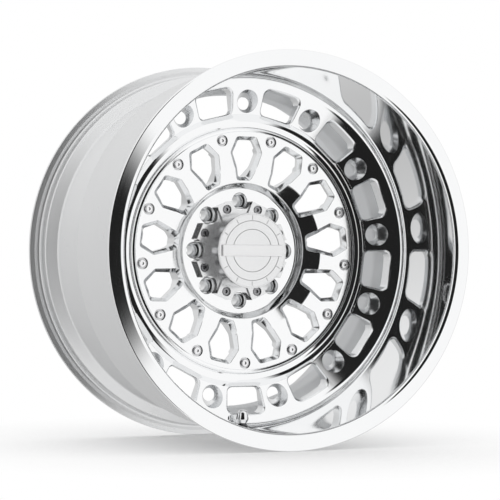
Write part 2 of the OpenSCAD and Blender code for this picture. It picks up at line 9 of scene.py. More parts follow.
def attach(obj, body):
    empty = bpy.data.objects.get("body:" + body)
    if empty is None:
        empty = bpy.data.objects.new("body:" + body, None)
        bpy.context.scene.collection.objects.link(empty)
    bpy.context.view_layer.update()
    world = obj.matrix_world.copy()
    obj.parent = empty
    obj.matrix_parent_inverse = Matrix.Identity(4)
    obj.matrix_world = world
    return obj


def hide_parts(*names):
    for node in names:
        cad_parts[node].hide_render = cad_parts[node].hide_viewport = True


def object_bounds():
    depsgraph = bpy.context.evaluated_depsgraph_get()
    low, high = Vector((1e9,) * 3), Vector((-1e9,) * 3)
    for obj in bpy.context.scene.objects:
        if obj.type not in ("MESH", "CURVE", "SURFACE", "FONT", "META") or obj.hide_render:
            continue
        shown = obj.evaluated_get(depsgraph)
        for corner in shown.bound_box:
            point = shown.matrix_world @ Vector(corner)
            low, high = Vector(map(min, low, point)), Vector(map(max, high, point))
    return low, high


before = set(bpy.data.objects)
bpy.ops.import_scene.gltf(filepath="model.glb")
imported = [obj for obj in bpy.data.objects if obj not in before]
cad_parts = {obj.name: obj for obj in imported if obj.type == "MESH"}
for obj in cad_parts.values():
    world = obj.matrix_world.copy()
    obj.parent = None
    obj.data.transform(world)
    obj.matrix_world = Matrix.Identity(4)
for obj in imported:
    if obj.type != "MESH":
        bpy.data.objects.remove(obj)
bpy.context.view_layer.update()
mm = 0.001
print("frame loaded")

# The axle is Y and the outboard face looks to -Y. A profile is a list of corners
# [distance from the axle, place along the axle, rounding], in millimetres.
# Clock angles run from the top, clockwise as seen from the front.

camera = {
    "place": (-1.51444, -3.21733, -0.02236),
    "azimuth": 25.289,
    "rise": 0.378,
    "roll": 0.452,
    "lens": 151.22,
    "sensor": 36.0,
}


def makeCamera():
    data = bpy.data.cameras.new("photoCamera")
    data.lens = camera["lens"]
    data.sensor_width = camera["sensor"]
    data.sensor_fit = "AUTO"
    data.clip_end = 200
    eye = bpy.data.objects.new("photoCamera", data)
    bpy.context.collection.objects.link(eye)
    turn = (Matrix.Rotation(-math.radians(camera["azimuth"]), 4, "Z")
            @ Matrix.Rotation(math.radians(90 + camera["rise"]), 4, "X")
            @ Matrix.Rotation(math.radians(camera["roll"]), 4, "Z"))
    eye.matrix_world = Matrix.Translation(camera["place"]) @ turn
    bpy.context.scene.camera = eye
    return eye


eye = makeCamera()


def objectMode():
    if bpy.context.object and bpy.context.object.mode != "OBJECT":
        bpy.ops.object.mode_set(mode="OBJECT")


def deselectAll():
    objectMode()
    bpy.ops.object.select_all(action="DESELECT")


def pick(piece):
    deselectAll()
    piece.select_set(True)
    bpy.context.view_layer.objects.active = piece


def runModifier(piece, kind, **values):
    pick(piece)
    modifier = piece.modifiers.new(kind.lower(), kind)
    for key, value in values.items():
        setattr(modifier, key, value)
    bpy.ops.object.modifier_apply(modifier=modifier.name)


def deletePiece(piece):
    pick(piece)
    bpy.ops.object.delete()


# Rounds the corners of a closed profile, with a point every few degrees. Each point comes
# with the surface's direction before it and after it, which differ only at a sharp corner.
def roundProfile(corners, step):
    found = []
    count = len(corners)
    for i in range(count):
        here = np.array(corners[i][:2], float)
        before = np.array(corners[i - 1][:2], float)
        after = np.array(corners[(i + 1) % count][:2], float)
        inward = (here - before) / np.linalg.norm(here - before)
        outward = (after - here) / np.linalg.norm(after - here)
        turn = math.atan2(inward[0] * outward[1] - inward[1] * outward[0], inward @ outward)
        radius = corners[i][2]
        if radius == 0 or abs(turn) < 0.01:
            found.append((here, (inward[1], -inward[0]), (outward[1], -outward[0])))
            continue
        side = math.copysign(1, turn)
        start = here - inward * radius * math.tan(abs(turn) / 2)
        centre = start + side * radius * np.array([-inward[1], inward[0]])
        first = math.atan2(*(start - centre)[::-1])
        steps = max(2, math.ceil(abs(math.degrees(turn)) / step))
        for k in range(steps + 1):
            angle = first + turn * k / steps
            spoke = np.array([math.cos(angle), math.sin(angle)])
            normal = tuple(side * spoke)
            found.append((centre + radius * spoke, normal, normal))
    return found


# Draws a closed outline with the extrude tool, from one vertex, and joins its ends.
def drawOutline(name, points):
    deselectAll()
    bpy.ops.mesh.primitive_plane_add(size=mm)
    piece = bpy.context.object
    piece.name = name
    bpy.ops.object.mode_set(mode="EDIT")
    bpy.ops.mesh.merge(type="CENTER")
    bpy.ops.transform.translate(value=Vector(points[0]))
    for start, end in zip(points, points[1:]):
        step = Vector(end) - Vector(start)
        bpy.ops.mesh.extrude_region_move(TRANSFORM_OT_translate={"value": step})
    bpy.ops.mesh.select_all(action="DESELECT")
    bpy.ops.object.mode_set(mode="OBJECT")
    for i in (0, len(points) - 1):
        piece.data.vertices[i].select = True
    bpy.ops.object.mode_set(mode="EDIT")
    bpy.ops.mesh.edge_face_add()
    bpy.ops.object.mode_set(mode="OBJECT")
    return piece


# Spins a profile round the axle into a closed solid.
def spinProfile(name, corners, steps, step):
    profile = roundProfile(corners, step)
    piece = drawOutline(name, [(0, p[0][1] * mm, p[0][0] * mm) for p in profile])
    pick(piece)
    bpy.ops.object.mode_set(mode="EDIT")
    bpy.ops.mesh.select_all(action="SELECT")
    bpy.ops.mesh.spin(steps=steps, angle=2 * math.pi, center=(0, 0, 0), axis=(0, 1, 0))
    bpy.ops.mesh.select_all(action="SELECT")
    bpy.ops.mesh.remove_doubles(threshold=1e-6)
    bpy.ops.mesh.normals_make_consistent(inside=False)
    bpy.ops.object.mode_set(mode="OBJECT")
    return piece, profile


# A closed solid through rings of matching points: the first ring is filled, then extruded
# and placed on each further ring.
def loftRings(name, rings):
    deselectAll()
    bpy.ops.mesh.primitive_circle_add(vertices=len(rings[0]), radius=mm, fill_type="NGON")
    piece = bpy.context.object
    piece.name = name
    vertices = piece.data.vertices
    for vertex, place in zip(vertices, rings[0]):
        vertex.co = place
    for lower, upper in zip(rings, rings[1:]):
        bpy.ops.object.mode_set(mode="EDIT")
        bpy.ops.mesh.extrude_region_move(TRANSFORM_OT_translate={"value": (0, 0, 0)})
        bpy.ops.object.mode_set(mode="OBJECT")
        vertices = piece.data.vertices
        raised = [v for v in vertices if v.select]
        was = np.array(lower)
        for vertex in raised:
            nearest = int(np.argmin(((was - np.array(vertex.co)) ** 2).sum(1)))
            vertex.co = upper[nearest]
    bpy.ops.object.mode_set(mode="EDIT")
    bpy.ops.mesh.select_all(action="SELECT")
    bpy.ops.mesh.normals_make_consistent(inside=False)
    bpy.ops.object.mode_set(mode="OBJECT")
    return piece


# Copies a piece to each clock angle and joins the copies.
def patternPiece(piece, angles):
    copies = []
    for angle in angles:
        copy = piece.copy()
        copy.data = piece.data.copy()
        copy.data.transform(Matrix.Rotation(math.radians(angle), 4, "Y"))
        bpy.context.collection.objects.link(copy)
        copies.append(copy)
    deletePiece(piece)
    return joinPieces(copies)


def joinPieces(pieces):
    pick(pieces[0])
    for piece in pieces:
        piece.select_set(True)
    bpy.ops.object.join()
    return bpy.context.object


def useMaterials(piece, materials):
    piece.data.materials.clear()
    for material in materials:
        piece.data.materials.append(material)


# Cuts a piece, and gives the new walls the material of the cutter's slot.
def cutWith(piece, cutter, wallSlot):
    useMaterials(cutter, piece.data.materials)
    for face in cutter.data.polygons:
        face.material_index = wallSlot
    runModifier(piece, "BOOLEAN", operation="DIFFERENCE", solver="MANIFOLD", object=cutter)
    deletePiece(cutter)


def smoothPiece(piece, angle=32):
    pick(piece)
    bpy.ops.object.shade_smooth_by_angle(angle=math.radians(angle))
    runModifier(piece, "WEIGHTED_NORMAL", keep_sharp=True)


# Shades a spun piece: turned faces take the profile's own direction, so that reflections
# run true, and cut walls are smoothed up to an angle.
def shadeTurned(piece, profile, wallSlot):
    smoothPiece(piece)
    mesh = piece.data
    places = np.zeros(len(mesh.vertices) * 3)
    mesh.vertices.foreach_get("co", places)
    places = places.reshape(-1, 3) / mm
    radius = np.hypot(places[:, 0], places[:, 2])
    flat = np.stack([radius, places[:, 1]], 1)
    start = np.array([p[0] for p in profile])
    along = np.roll(start, -1, 0) - start
    leave = np.array([p[2] for p in profile])
    arrive = np.roll(np.array([p[1] for p in profile]), -1, 0)
    length2 = (along ** 2).sum(1)
    normals = [tuple(c.vector) for c in mesh.corner_normals]
    for face in mesh.polygons:
        if face.material_index == wallSlot:
            continue
        corners = list(face.vertices)
        middle = flat[corners].mean(0)
        share = np.clip(((middle - start) * along).sum(1) / length2, 0, 1)
        gap = ((start + share[:, None] * along - middle) ** 2).sum(1)
        near = int(np.argmin(gap))
        for loop, v in zip(face.loop_indices, corners):
            t = min(max(float((flat[v] - start[near]) @ along[near] / length2[near]), 0), 1)
            lean = (1 - t) * leave[near] + t * arrive[near]
            spin = places[v] / radius[v]
            normals[loop] = (spin[0] * lean[0], lean[1], spin[2] * lean[0])
    mesh.normals_split_custom_set(normals)


class Shader:
    def __init__(self, name):
        self.material = bpy.data.materials.new(name)
        self.material.use_nodes = True
        self.nodes = self.material.node_tree.nodes
        self.links = self.material.node_tree.links
        self.surface = self.nodes["Principled BSDF"]
        self.coords = self.nodes.new("ShaderNodeTexCoord").outputs["Object"]

    def add(self, kind, **values):
        node = self.nodes.new(kind)
        for key, value in values.items():
            setattr(node, key, value)
        return node

    def math(self, operation, first, second=None):
        node = self.add("ShaderNodeMath", operation=operation)
        for socket, value in zip(node.inputs, (first, second)):
            self.feed(socket, value)
        return node.outputs[0]

    def feed(self, socket, value):
        if value is None:
            return
        if isinstance(value, bpy.types.NodeSocket):
            self.links.new(value, socket)
        else:
            socket.default_value = value

    def noise(self, scale, detail, vector=None):
        node = self.add("ShaderNodeTexNoise")
        self.feed(node.inputs["Vector"], vector or self.coords)
        node.inputs["Scale"].default_value = scale
        node.inputs["Detail"].default_value = detail
        node.inputs["Roughness"].default_value = 0.5
        return node.outputs["Fac"]

    # Distance from the axle and place along it, as a vector: a pattern on it runs round
    # the wheel like the marks of a lathe or a polishing wheel.
    def turned(self, stretch):
        split = self.add("ShaderNodeSeparateXYZ")
        self.links.new(self.coords, split.inputs[0])
        x, y, z = split.outputs
        square = self.math("ADD", self.math("MULTIPLY", x, x), self.math("MULTIPLY", z, z))
        joined = self.add("ShaderNodeCombineXYZ")
        self.links.new(self.math("SQRT", square), joined.inputs[0])
        self.links.new(y, joined.inputs[1])
        self.links.new(self.math("MULTIPLY", z, stretch), joined.inputs[2])
        return joined.outputs[0]

    # Spreads noise, which lies mostly between 0.3 and 0.7, over a range.
    def ramp(self, value, low, high):
        node = self.add("ShaderNodeMapRange")
        self.links.new(value, node.inputs["Value"])
        node.inputs["From Min"].default_value = 0.3
        node.inputs["From Max"].default_value = 0.7
        node.inputs["To Min"].default_value = low
        node.inputs["To Max"].default_value = high
        return node.outputs["Result"]

    def tint(self, value, low, high):
        node = self.add("ShaderNodeMix", data_type="RGBA")
        self.links.new(value, node.inputs["Factor"])
        node.inputs["A"].default_value = (*low, 1)
        node.inputs["B"].default_value = (*high, 1)
        self.links.new(node.outputs["Result"], self.surface.inputs["Base Color"])

    def bump(self, height, distance):
        node = self.add("ShaderNodeBump")
        self.links.new(height, node.inputs["Height"])
        node.inputs["Strength"].default_value = 1
        node.inputs["Distance"].default_value = distance
        self.links.new(node.outputs["Normal"], self.surface.inputs["Normal"])

    def rough(self, value):
        self.feed(self.surface.inputs["Roughness"], value)


# Metal with marks that run round the axle.
def turnedMetal(name, low, high, roughLow, roughHigh, marks, depth, metal=1):
    shade = Shader(name)
    shade.surface.inputs["Metallic"].default_value = metal
    lines = shade.noise(marks, 3, shade.turned(0.02))
    cloud = shade.noise(9, 4)
    shade.tint(cloud, low, high)
    mixed = shade.math("MULTIPLY", shade.math("ADD", lines, cloud), 0.5)
    shade.rough(shade.ramp(mixed, roughLow, roughHigh))
    shade.bump(lines, depth)
    return shade.material


# Metal without a direction, as cast, plated or tumbled.
def plainMetal(name, low, high, roughLow, roughHigh, grain, depth, metal=1):
    shade = Shader(name)
    shade.surface.inputs["Metallic"].default_value = metal
    spots = shade.noise(grain, 4)
    shade.tint(spots, low, high)
    shade.rough(shade.ramp(shade.noise(grain * 0.3, 3), roughLow, roughHigh))
    shade.bump(spots, depth)
    return shade.material


def rubber(name, low, high, rough):
    shade = Shader(name)
    spots = shade.noise(900, 4)
    shade.tint(spots, low, high)
    shade.rough(shade.ramp(spots, rough, rough + 0.15))
    shade.bump(spots, 0.00004)
    return shade.material


# Each finish has its darkest and lightest colour, roughness from and to, fineness of its
# marks, their depth in metres and, where it isn't full metal, how metallic it is.
polishedBarrel = turnedMetal("polishedBarrel", (0.92, 0.925, 0.93), (0.95, 0.955, 0.96),
                             0.03, 0.06, 420, 0.0000008)
satinBarrel = turnedMetal("satinBarrel", (0.76, 0.765, 0.77), (0.82, 0.825, 0.83),
                          0.26, 0.34, 160, 0.0000003, 0.8)
turnedInside = turnedMetal("turnedInside", (0.68, 0.69, 0.70), (0.73, 0.737, 0.745),
                           0.6, 0.7, 700, 0.00001, 0.1)
milledWall = plainMetal("milledWall", (0.80, 0.81, 0.82), (0.88, 0.885, 0.89),
                        0.12, 0.2, 260, 0.000004)
polishedDisc = turnedMetal("polishedDisc", (0.93, 0.935, 0.94), (0.96, 0.963, 0.967),
                           0.05, 0.09, 380, 0.0000012)
boltSteel = plainMetal("boltSteel", (0.84, 0.84, 0.85), (0.92, 0.92, 0.93),
                       0.1, 0.18, 700, 0.000003)
washerSteel = plainMetal("washerSteel", (0.62, 0.62, 0.63), (0.74, 0.74, 0.75),
                         0.2, 0.3, 700, 0.000006)
nutSteel = plainMetal("nutSteel", (0.6, 0.6, 0.61), (0.72, 0.72, 0.73),
                      0.24, 0.36, 600, 0.00001)
capMetal = turnedMetal("capMetal", (0.84, 0.845, 0.85), (0.9, 0.905, 0.91),
                       0.14, 0.22, 1100, 0.000002, 0.75)
blackScrew = plainMetal("blackScrew", (0.3, 0.3, 0.31), (0.4, 0.4, 0.41),
                        0.2, 0.32, 900, 0.000006)
lidMetal = turnedMetal("lidMetal", (0.82, 0.823, 0.827), (0.88, 0.883, 0.887),
                       0.2, 0.27, 1500, 0.000001, 0.9)
# Dark colour painted into the lid's grooves, its ticks and the slot under the bar: painted shade
# in those recesses.
paintedGrooveShade = plainMetal("paintedGrooveShade", (0.26, 0.26, 0.27), (0.34, 0.34, 0.35),
                     0.4, 0.5, 900, 0.000004)
barMetal = plainMetal("barMetal", (0.955, 0.957, 0.96), (0.97, 0.971, 0.973),
                      0.35, 0.45, 500, 0.000001, 0.3)
sealRubber = rubber("sealRubber", (0.012, 0.012, 0.013), (0.03, 0.03, 0.032), 0.6)
coreRubber = rubber("coreRubber", (0.3, 0.03, 0.02), (0.4, 0.05, 0.03), 0.55)
valveMetal = plainMetal("valveMetal", (0.68, 0.68, 0.69), (0.78, 0.78, 0.79),
                        0.15, 0.25, 900, 0.000004)
valveDark = plainMetal("valveDark", (0.07, 0.07, 0.075), (0.13, 0.13, 0.135),
                       0.25, 0.38, 900, 0.000006)
coreBrass = plainMetal("coreBrass", (0.6, 0.42, 0.16), (0.72, 0.52, 0.22),
                       0.2, 0.32, 900, 0.000004)
capChrome = plainMetal("capChrome", (0.82, 0.825, 0.83), (0.88, 0.885, 0.89),
                       0.05, 0.1, 500, 0.000001)

nodeMaterials = {
    "disc_bolts": boltSteel,
    "disc_bolt_washers": washerSteel,
    "disc_bolt_nuts": nutSteel,
    "cap_base": capMetal,
    "cap_screws": blackScrew,
    "cap_lid": lidMetal,
    "cap_lid_o_ring": sealRubber,
    "cap_bar": barMetal,
    "cap_bar_screws": blackScrew,
    "valve_stem": valveMetal,
    "valve_grommet": sealRubber,
    "valve_gasket": sealRubber,
    "valve_washer": valveDark,
    "valve_nut": valveDark,
    "valve_core_barrel": coreBrass,
    "valve_core_gasket": coreRubber,
    "valve_core_pin": coreBrass,
    "valve_core_seal": coreRubber,
    "valve_core_spring": valveMetal,
    "valve_cap": capChrome,
    "valve_cap_seal": sealRubber,
}
for node, material in nodeMaterials.items():
    useMaterials(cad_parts[node], [material])
print("materials made")


windowCount = 13
pitch = 360 / windowCount
windowAngles = [i * pitch for i in range(windowCount)]
betweenAngles = [(i + 0.5) * pitch for i in range(windowCount)]
lugAngles = [i * 45 for i in range(8)]


# Height of a turned face at a distance from the axle, from its corners.
def faceHeight(corners):
    radii = [c[0] for c in corners]
    places = [c[1] for c in corners]
    return lambda r: float(np.interp(r, radii, places))


# An outline drawn flat as (distance from the axle, sideways), with the same number of
# points in each corner, so that two outlines match point for point.
def plainOutline(corners, radius, steps=6):
    found = []
    count = len(corners)
    for i in range(count):
        here = np.array(corners[i], float)
        before = np.array(corners[i - 1], float)
        after = np.array(corners[(i + 1) % count], float)
        inward = (here - before) / np.linalg.norm(here - before)
        outward = (after - here) / np.linalg.norm(after - here)
        turn = math.atan2(inward[0] * outward[1] - inward[1] * outward[0], inward @ outward)
        side = math.copysign(1, turn)
        start = here - inward * radius * math.tan(abs(turn) / 2)
        centre = start + side * radius * np.array([-inward[1], inward[0]])
        first = math.atan2(*(start - centre)[::-1])
        for k in range(steps + 1):
            angle = first + turn * k / steps
            found.append(centre + radius * np.array([math.cos(angle), math.sin(angle)]))
    return found


# Adds points along the straight sides of an outline, so that its bevel can follow the face.
def dividedOutline(points, corner, parts=8):
    found = []
    for i, point in enumerate(points):
        found.append(point)
        if i % corner == corner - 1:
            after = points[(i + 1) % len(points)]
            found += [point + (after - point) * k / parts for k in range(1, parts)]
    return found


# Cutter for a window with a bevel of 45 degrees whose upper edge is eased: flat and wide
# above the face, then the eased edge, the bevel and the straight wall.
def windowCutter(name, mouth, wall, height, ease, back, reach=6, top=-20):
    rings = [[], [], [], [], []]
    for (mouthR, mouthW), (wallR, wallW) in zip(mouth, wall):
        face = height(math.hypot(mouthR, mouthW))
        across = math.hypot(wallR - mouthR, wallW - mouthW)
        outR, outW = (mouthR - wallR) / across, (mouthW - wallW) / across
        rings[0].append((mouthW + outW * reach, top, mouthR + outR * reach))
        rings[1].append((mouthW + outW * reach, face - reach / 3, mouthR + outR * reach))
        rings[2].append((mouthW - outW * ease, face + ease * 0.6, mouthR - outR * ease))
        rings[3].append((wallW, face + across - ease * 0.4, wallR))
        rings[4].append((wallW, back, wallR))
    return loftRings(name, [[Vector(place) * mm for place in ring] for ring in rings])


# Round cutter along the axle direction, from [radius, place] pairs, centred at a distance
# from the axle.
def roundCutter(name, steps, distance, sides=64):
    rings = []
    turns = np.linspace(0, 2 * math.pi, sides, endpoint=False)
    for radius, place in steps:
        rings.append([(radius * mm * math.sin(t), place * mm,
                       distance * mm + radius * mm * math.cos(t)) for t in turns])
    return loftRings(name, rings)


# Outline of a ring window: sides along two radii, with its outer side bowed like the ring.
def softOutline(inner, outer, halfAngle, radius, steps=6, bowParts=7):
    turn = math.radians(halfAngle)
    box = plainOutline([(inner * math.cos(turn), -inner * math.sin(turn)),
                        (outer * math.cos(turn), -outer * math.sin(turn)),
                        (outer * math.cos(turn), outer * math.sin(turn)),
                        (inner * math.cos(turn), inner * math.sin(turn))], radius, steps)
    arc = []
    sag = outer * math.cos(turn)
    for r, w in box:
        out = 0
        if abs(r - sag) < radius:
            share = 1 - (sag - r) / radius
            out = (math.sqrt(max(outer ** 2 - w ** 2, 0)) - sag) * max(share, 0)
        arc.append((r + out, w))
    middle = 2 * (steps + 1)
    across = np.linspace(arc[middle - 1][1], arc[middle][1], bowParts)[1:-1]
    between = [(math.sqrt(outer ** 2 - w ** 2), w) for w in across]
    return arc[:middle] + between + arc[middle:]


barrel = {
    "flangeR": 324.5, "halfWidth": 189.05, "edgeWidth": 6, "lean": 2.7, "curlR": 316.5,
    "lipR": 296, "lipCorner": 8, "lipFillet": 14, "rearLipR": 298, "rearLip": 18.5,
    # Bead seats, humps and the drop centre between them, outside and inside.
    "seatR": 307.2, "seatHalf": 177.8, "seatFall": 1.75, "seatEnd": 20,
    "humpRise": 0.8, "humpPlace": 24, "humpEnd": 36,
    "wallR": 303.5, "wallEnd": 10, "dropR": 273.2, "dropStart": 45, "dropEnd": 82,
    "riseR": 288, "riseEnd": 137,
    "dropInR": 267.7, "dropInStart": 42.7, "dropInEnd": 82.4, "riseInR": 282.5,
    "riseInEnd": 138.8,
    # The ring, its border round the disc, and the ears that take the bolts.
    "ringR": 232.2, "ringY": 8.8, "ringOutY": -8.3, "ringBack": 22, "ringBackR": 285.6,
    "pocketR": 209.3, "pocketY": 4.4, "borderY": 4.8, "borderBack": 18.8, "borderEdge": 3,
    "valleyIn": 6, "valleyOut": 7, "valleyDepth": 0.7,
    "earBack": 30.8, "earInR": 177, "earLip": 7, "seatInR": 199, "scallopR": 32,
    # Windows: inner and outer radius, half their angle and the radius of their corners.
    "windowMouth": (230.8, 278.4, 7.75, 11), "windowWall": (233, 276, 7.2, 10),
    "windowEase": 0.3, "sinkR": 250.6, "sinkMouth": 19.2, "sinkNeck": 11, "sinkFloor": 2,
    # Where the satin outside starts and ends.
    "satinInR": 270, "satinFront": 9.5, "satinDrop": 8, "satinRear": 4,
    "steps": 312,
}


def barrelCorners():
    b = barrel
    half, seat, lean, edge = b["halfWidth"], b["seatHalf"], b["lean"], b["edgeWidth"]
    return [
        [b["lipR"], -half, b["lipCorner"]],
        [b["flangeR"], -half + lean, 2.5],
        [b["flangeR"], -half + lean + edge, 1.5],
        [b["curlR"], -seat, 5],
        [b["seatR"], -seat, 6],
        [b["seatR"] - b["seatFall"], -seat + b["seatEnd"], 4],
        [b["seatR"] + b["humpRise"], -seat + b["humpPlace"], 3],
        [b["wallR"], -seat + b["humpEnd"], 6],
        [b["wallR"], b["wallEnd"], 8],
        [b["dropR"], b["dropStart"], 12],
        [b["dropR"], b["dropEnd"], 20],
        [b["riseR"], b["riseEnd"], 10],
        [b["seatR"] + b["humpRise"], seat - b["humpPlace"], 4],
        [b["seatR"] - b["seatFall"], seat - b["seatEnd"], 4],
        [b["seatR"], seat, 6],
        [b["curlR"], seat, 5],
        [b["flangeR"], half - lean - edge, 1.5],
        [b["flangeR"], half - lean, 2.5],
        [b["rearLipR"], half, 6],
        [b["rearLipR"], seat - b["rearLip"], 12],
        [b["riseInR"], b["riseInEnd"], 12],
        [b["dropInR"], b["dropInEnd"], 20],
        [b["dropInR"], b["dropInStart"], 14],
        [b["ringBackR"], b["ringBack"], 3],
        [b["pocketR"] + b["earLip"], b["ringBack"], 3],
        [b["pocketR"] + b["earLip"], b["earBack"], 2],
        [b["earInR"], b["earBack"], 1.5],
        [b["earInR"], b["borderBack"], 0],
        [b["pocketR"], b["borderBack"], 0],
        [b["pocketR"], b["borderY"] + b["borderEdge"], 1.5],
        [b["pocketR"] + b["valleyIn"], b["borderY"] - b["valleyDepth"], 10],
        [b["ringR"] - b["valleyOut"], b["borderY"] + b["valleyDepth"], 14],
        [b["ringR"], b["ringY"], 1],
        [b["lipR"], b["ringOutY"], b["lipFillet"]],
    ]


# Satin metal outside, from behind the front flange to the rear edge, and plain turned
# metal inside. The rest stays polished.
def paintBarrel(shell):
    b = barrel
    satin, inner, slack = 1, 2, 2
    for face in shell.data.polygons:
        middle = face.center / mm
        radius = math.hypot(middle.x, middle.z)
        overDrop = radius > b["dropR"] - slack and middle.y > b["satinDrop"]
        outside = radius > b["wallR"] - slack or overDrop
        inside = middle.y > b["ringBack"] - 1 and radius < b["rearLipR"] + 0.5
        if outside and middle.y > -b["halfWidth"] + b["satinFront"] and radius > b["satinInR"]:
            face.material_index = satin
        if inside and face.normal.dot(Vector((middle.x, 0, middle.z))) < 0:
            face.material_index = inner
        if middle.y > b["halfWidth"] - b["satinRear"]:
            face.material_index = satin


def makeBarrel():
    b = barrel
    shell, profile = spinProfile("rimBarrel", barrelCorners(), b["steps"], 6)
    useMaterials(shell, [polishedBarrel, satinBarrel, turnedInside, milledWall])
    paintBarrel(shell)
    print("barrel spun", len(shell.data.polygons))
    height = faceHeight([[b["pocketR"], b["pocketY"]], [b["ringR"], b["ringY"]],
                         [b["lipR"], b["ringOutY"]]])
    behind = b["ringBack"] + 4
    window = windowCutter("ringWindowCutter", softOutline(*b["windowMouth"]),
                          softOutline(*b["windowWall"]), height, b["windowEase"], behind)
    cutters = [patternPiece(window, betweenAngles)]
    # The countersink's cone is carried on well above the face.
    face, above = height(b["sinkR"]), 16
    depth = b["ringBack"] - b["sinkFloor"] - face
    grow = (b["sinkMouth"] - b["sinkNeck"]) / depth
    sink = roundCutter("sinkCutter", [[b["sinkMouth"] + above * grow, face - above],
                                      [b["sinkNeck"], face + depth],
                                      [b["sinkNeck"], behind]], b["sinkR"])
    cutters.append(patternPiece(sink, windowAngles))
    scallop = roundCutter("scallopCutter", [[b["scallopR"], b["borderBack"] - 12],
                                            [b["scallopR"], b["earBack"] + 5]],
                          b["seatInR"] - b["scallopR"], 96)
    cutters.append(patternPiece(scallop, windowAngles))
    cutters.append(valveCutter())
    cutWith(shell, joinPieces(cutters), 3)
    shadeTurned(shell, profile, 3)
    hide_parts("rim_barrel")
    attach(shell, "wheel")
    print("barrel cut", len(shell.data.polygons))
    return shell


valve = {
    "x": -15.7, "y": -21, "seatZ": -296.4, "hole": 5.75, "spot": 9.5, "foot": 9.5,
    "footZ": -302.2, "reach": 20, "sides": 48,
}


# Hole, spotface and rear seat of the tyre valve, through the lip.
def valveCutter():
    v = valve
    turns = np.linspace(0, 2 * math.pi, v["sides"], endpoint=False)
    rings = []
    for radius, height in ((v["spot"], v["seatZ"] + v["reach"]), (v["spot"], v["seatZ"]),
                           (v["hole"], v["seatZ"]), (v["hole"], v["footZ"]),
                           (v["foot"], v["footZ"]), (v["foot"], v["footZ"] - v["reach"])):
        rings.append([((v["x"] + radius * math.cos(t)) * mm, (v["y"] + radius * math.sin(t)) * mm,
                       height * mm) for t in turns])
    return loftRings("valveCutter", rings)


rimBarrel = makeBarrel()


disc = {
    "outerR": 209, "borderY": 4.8, "borderBack": 18.8, "stepR": 201.5, "step": 1.4,
    "stepWidth": 1, "edge": 2.5, "edgeDrop": 2, "edgeWall": 5,
    "borderR": 183, "slopeR": 139.5, "slopeY": 7.2,
    "recessR": 114.6, "recessY": 16.8, "recessEase": 6, "padR": 107.2, "padY": 31,
    "boreR": 62.5, "mountY": 76, "mountR": 106, "mountSlope": 7,
    "webBackR": 144, "webR": 173, "webY": 27.8, "webShoulder": 3,
    "boltR": 190.5, "spotR": 10.25, "spotDepth": 4.5,
    # Half a window's outline, as distance from the axle and sideways.
    "windowMouth": [(119, 12.8), (166, 29.6), (193.8, 18.4)], "mouthCorner": 7,
    "windowWall": [(125.5, 7), (166, 23.5), (188, 13)], "wallCorner": 5.5,
    "windowEase": 0.4, "behind": 90,
    # Lug holes: an eased mouth in the pad, a pocket, and a cone down to the stud's hole.
    "lugR": 85, "lugMouth": [(16, -12), (16, -1.4), (14.2, 0), (13.6, 0.5)],
    "lugPocketR": 13.25, "lugEase": 1.4, "lugPocket": 12,
    "lugSeatR": 11, "lugSeat": 16, "lugHoleR": 7.75, "lugCone": 30,
    "steps": 312,
}


def discCorners():
    d = disc
    return [
        [d["boreR"], d["padY"], 1],
        [d["padR"], d["padY"], 4],
        [d["recessR"], d["recessY"], d["recessEase"]],
        [d["slopeR"], d["slopeY"], 40],
        [d["borderR"], d["borderY"], 60],
        [d["stepR"], d["borderY"], 0.6],
        [d["stepR"] + d["stepWidth"], d["borderY"] + d["step"], 0.5],
        [d["outerR"] - d["edge"], d["borderY"] + d["edgeDrop"], 2.5],
        [d["outerR"], d["borderY"] + d["edgeWall"], 1],
        [d["outerR"], d["borderBack"], 1],
        [d["webR"] + d["webShoulder"], d["borderBack"], 2],
        [d["webR"], d["webY"], 5],
        [d["webBackR"], d["webY"], 12],
        [d["mountR"] + d["mountSlope"], d["mountY"] - d["mountSlope"], 10],
        [d["mountR"], d["mountY"], 1.5],
        [d["boreR"], d["mountY"], 1],
    ]


# A whole window outline from its half, with its straight sides divided.
def discWindow(half, radius):
    corners = [(r, -w) for r, w in half] + [(r, w) for r, w in reversed(half)]
    return dividedOutline(plainOutline(corners, radius), 7)


def lugSteps():
    d = disc
    pad, neck = d["padY"], d["lugSeatR"] - d["lugHoleR"]
    coneEnd = pad + d["lugSeat"] + neck / math.tan(math.radians(d["lugCone"]))
    return [[radius, pad + deep] for radius, deep in d["lugMouth"]] + [
        [d["lugPocketR"], pad + d["lugEase"]],
        [d["lugPocketR"], pad + d["lugPocket"]],
        [d["lugSeatR"], pad + d["lugPocket"]],
        [d["lugSeatR"], pad + d["lugSeat"]],
        [d["lugHoleR"], coneEnd],
        [d["lugHoleR"], d["behind"]],
    ]


def makeDisc():
    d = disc
    shell, profile = spinProfile("centreDisc", discCorners(), d["steps"], 6)
    useMaterials(shell, [polishedDisc, milledWall])
    height = faceHeight([[d["recessR"], d["recessY"]], [d["slopeR"], d["slopeY"]],
                         [d["borderR"], d["borderY"]], [d["outerR"], d["borderY"]]])
    window = windowCutter("discWindowCutter", discWindow(d["windowMouth"], d["mouthCorner"]),
                          discWindow(d["windowWall"], d["wallCorner"]), height,
                          d["windowEase"], d["behind"])
    cutters = [patternPiece(window, windowAngles)]
    spotFloor = d["borderY"] + d["spotDepth"]
    spot = roundCutter("spotCutter", [[d["spotR"], -10], [d["spotR"], spotFloor]], d["boltR"], 48)
    cutters.append(patternPiece(spot, betweenAngles))
    lug = roundCutter("lugCutter", lugSteps(), d["lugR"])
    cutters.append(patternPiece(lug, lugAngles))
    cutWith(shell, joinPieces(cutters), 1)
    shadeTurned(shell, profile, 1)
    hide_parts("centre_disc")
    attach(shell, "wheel")
    print("disc cut", len(shell.data.polygons))
    return shell


centreDisc = makeDisc()


